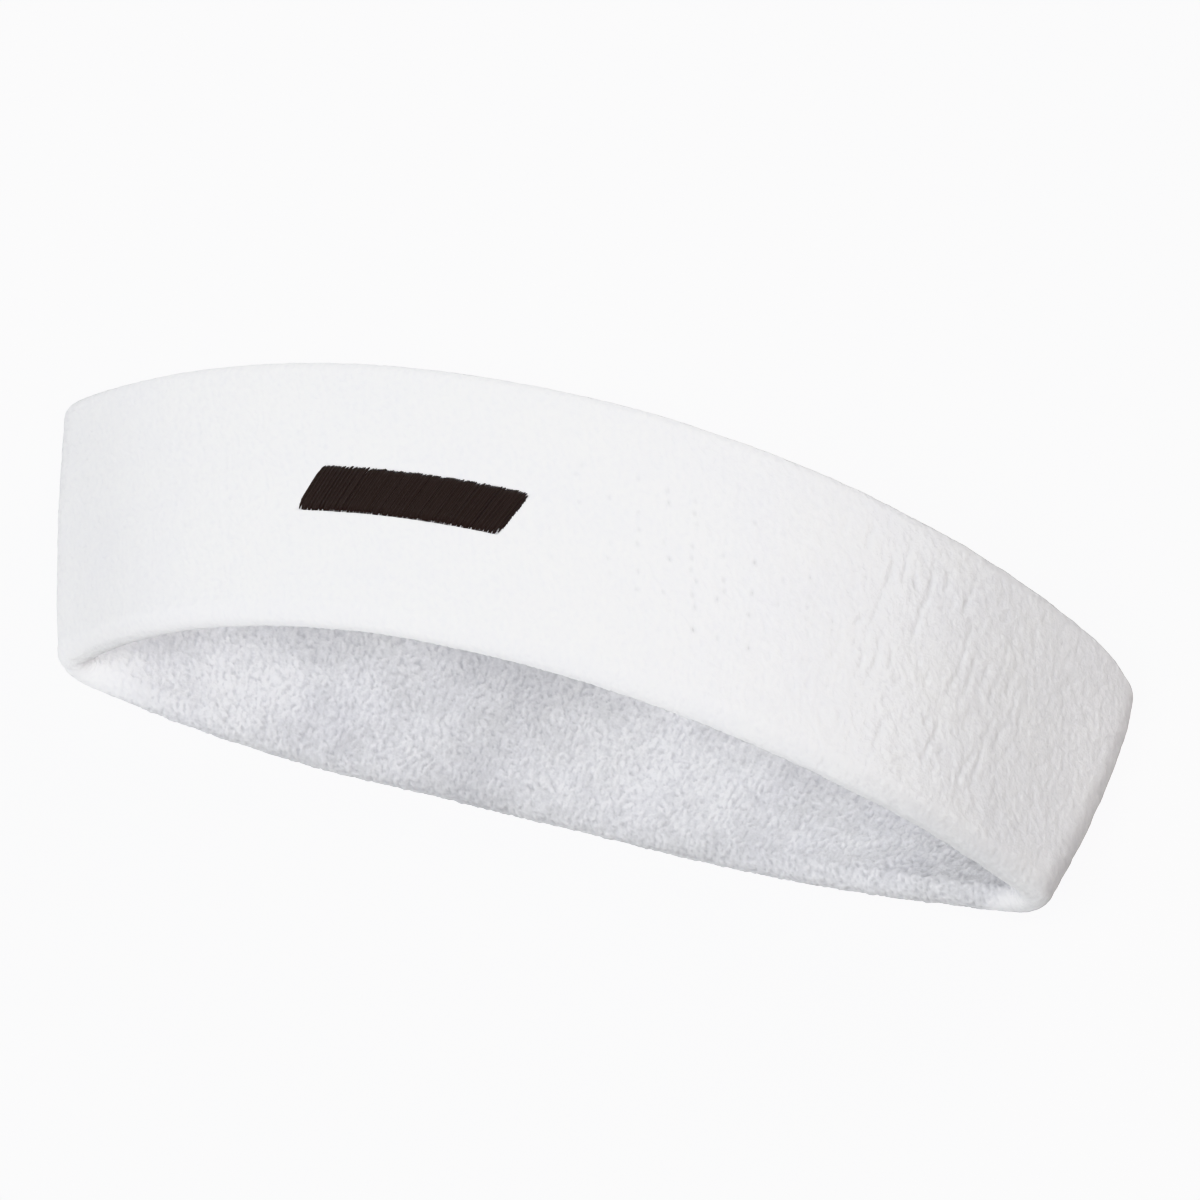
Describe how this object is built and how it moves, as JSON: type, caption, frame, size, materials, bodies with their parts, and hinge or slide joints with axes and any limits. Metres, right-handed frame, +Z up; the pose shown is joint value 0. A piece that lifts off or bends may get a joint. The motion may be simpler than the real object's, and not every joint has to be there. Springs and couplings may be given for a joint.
{
  "type": "sports headband",
  "caption": "Doubled terry loop worn round the forehead to soak up sweat, with a small embroidered bar on the front, lying on its back half.",
  "frame": {"origin": "under the middle of the band, on the surface that it lies on", "axes": "+X along the flattened loop's width, +Y from the lower edge to the upper edge, +Z up from the back wall to the front wall"},
  "size_m": [0.1858, 0.05, 0.0577],
  "materials": {
    "outer_terry": "soft looped terry, brushed lightly at the edges",
    "inner_terry": "denser looped terry",
    "ground_knit": "plain weft knit",
    "elastic_thread": "covered elastic thread",
    "seam_thread": "twisted polyester thread",
    "satin_thread": "lustrous satin embroidery thread",
    "underlay_thread": "matt embroidery thread",
    "bobbin_thread": "fine spun thread",
    "backing": "soft non-woven"
  },
  "bodies": {
    "root": {"outer_pile": "outer_terry", "inner_pile": "inner_terry", "outer_ground_knit": "ground_knit", "inner_ground_knit": "ground_knit", "outer_elastic_threads": "elastic_thread", "inner_elastic_threads": "elastic_thread", "closing_seam_thread": "seam_thread", "mark_satin_stitches": "satin_thread", "mark_underlay_stitches": "underlay_thread", "mark_bobbin_stitches": "bobbin_thread", "embroidery_backing": "backing"}
  },
  "joints": []
}
